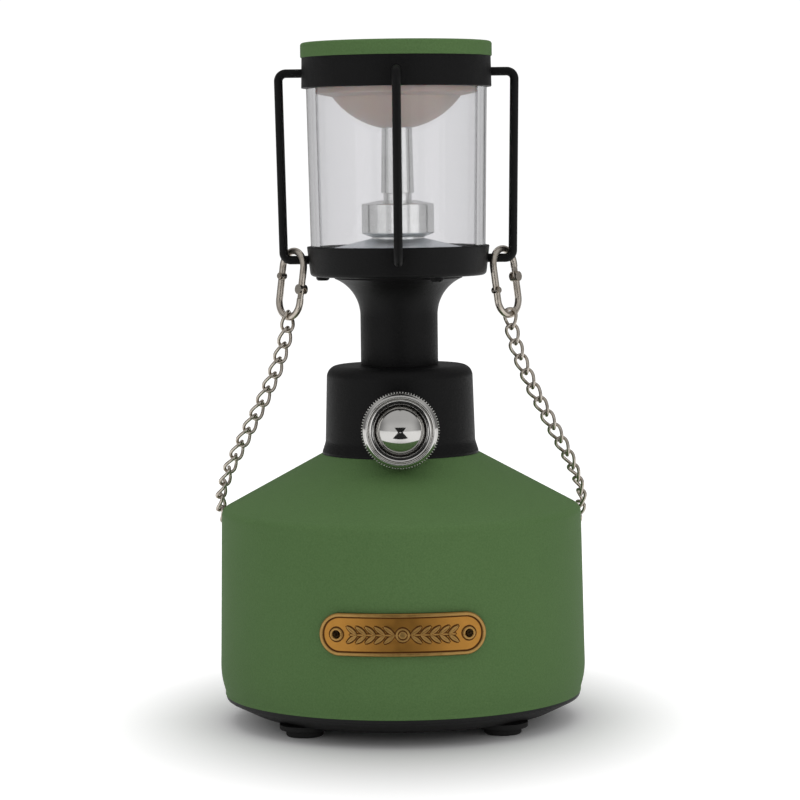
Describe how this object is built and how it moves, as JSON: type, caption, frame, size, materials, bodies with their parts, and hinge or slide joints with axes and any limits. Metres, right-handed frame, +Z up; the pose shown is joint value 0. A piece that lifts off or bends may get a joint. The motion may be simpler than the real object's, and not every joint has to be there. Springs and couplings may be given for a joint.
{
  "type": "camping lantern",
  "caption": "Rechargeable tabletop camping lantern: round tank base, dimmer knob, slim neck, glass lamp house inside guard wires, and a carrying chain on hinged rings.",
  "frame": {"origin": "on the floor plane under the middle of the tank", "axes": "+Z up along the lamp's axis; the name plate and the dimmer knob face -Y; +X is to the right seen from the front"},
  "size_m": [0.1312, 0.1331, 0.2347],
  "materials": {
    "green_paint": "matte fine-textured green powder coat",
    "black_paint": "matte fine-textured black powder coat",
    "black_rubber": "matte black rubber",
    "black_plastic": "matte black moulded plastic",
    "chrome": "bright polished chrome plate",
    "polished_alu": "polished aluminium",
    "nickel_wire": "warm grey nickel plate",
    "screw_steel": "zinc-plated steel",
    "brass_plate": "antique brass with dark recesses",
    "clear_glass": "clear with a faint cool tint",
    "frosted_dome": "frosted warm diffuser, satin",
    "seal_silicone": "translucent silicone",
    "white_board": "white solder mask",
    "led_phosphor": "yellow phosphor",
    "green_board": "green solder mask",
    "cell_sleeve": "blue shrink sleeve"
  },
  "bodies": {
    "lantern": {"tank_shell": "green_paint", "top_cap": "green_paint", "base_plate": "black_plastic", "rubber_feet": "black_rubber", "base_screws": "screw_steel", "collar_screws": "screw_steel", "battery_cells": "cell_sleeve", "battery_tray": "black_plastic", "circuit_board": "green_board", "circuit_screws": "screw_steel", "usb_port": "screw_steel", "port_bezel": "black_plastic", "cover_pin": "screw_steel", "name_plate": "brass_plate", "plate_rivets": "brass_plate", "collar": "black_paint", "dimmer_pot": "screw_steel", "pot_nut": "screw_steel", "neck": "black_paint", "neck_screws": "screw_steel", "lower_ring": "black_paint", "lamp_screws": "screw_steel", "lower_seal": "seal_silicone", "upper_seal": "seal_silicone", "glass_chimney": "clear_glass", "reflector_dish": "polished_alu", "stem_cup": "polished_alu", "stem_nut": "screw_steel", "stem": "polished_alu", "diffuser_dome": "frosted_dome", "led_board": "white_board", "led_chips": "led_phosphor", "led_lead": "black_plastic", "lead_plug": "white_board", "upper_band": "black_paint", "cap_screws": "screw_steel", "guard_wire_right": "black_paint", "guard_wire_back": "black_paint", "guard_wire_left": "black_paint", "guard_wire_front": "black_paint", "right_ring_upper": "nickel_wire", "left_ring_upper": "nickel_wire", "left_ring_pin": "nickel_wire", "chain_links": "nickel_wire"},
    "knob": {"knob_body": "chrome", "knob_dome": "chrome", "pot_shaft": "screw_steel"},
    "charging_cover": {"port_cover": "black_rubber"},
    "right_ring": {"right_ring_lower": "nickel_wire", "right_ring_pin": "nickel_wire"},
    "left_ring": {"left_ring_lower": "nickel_wire"}
  },
  "joints": [
    {"name": "knob_turn", "type": "hinge", "parent": "lantern", "child": "knob", "pos_m": [0, -0.0376, 0.1037], "axis": [0, -1, 0], "range_deg": [0, 280]},
    {"name": "cover_open", "type": "hinge", "parent": "lantern", "child": "charging_cover", "pos_m": [0, 0.06575, 0.0564], "axis": [1, 0, 0], "range_deg": [0, 110]},
    {"name": "right_ring_open", "type": "hinge", "parent": "lantern", "child": "right_ring", "pos_m": [0.03371, -0.00441, 0.14905], "axis": [-0.7603, 0.6428, -0.0934], "range_deg": [0, 15]},
    {"name": "left_ring_open", "type": "hinge", "parent": "lantern", "child": "left_ring", "pos_m": [-0.04049, 0.00441, 0.15452], "axis": [0.7603, 0.6428, -0.0934], "range_deg": [0, 15]}
  ]
}
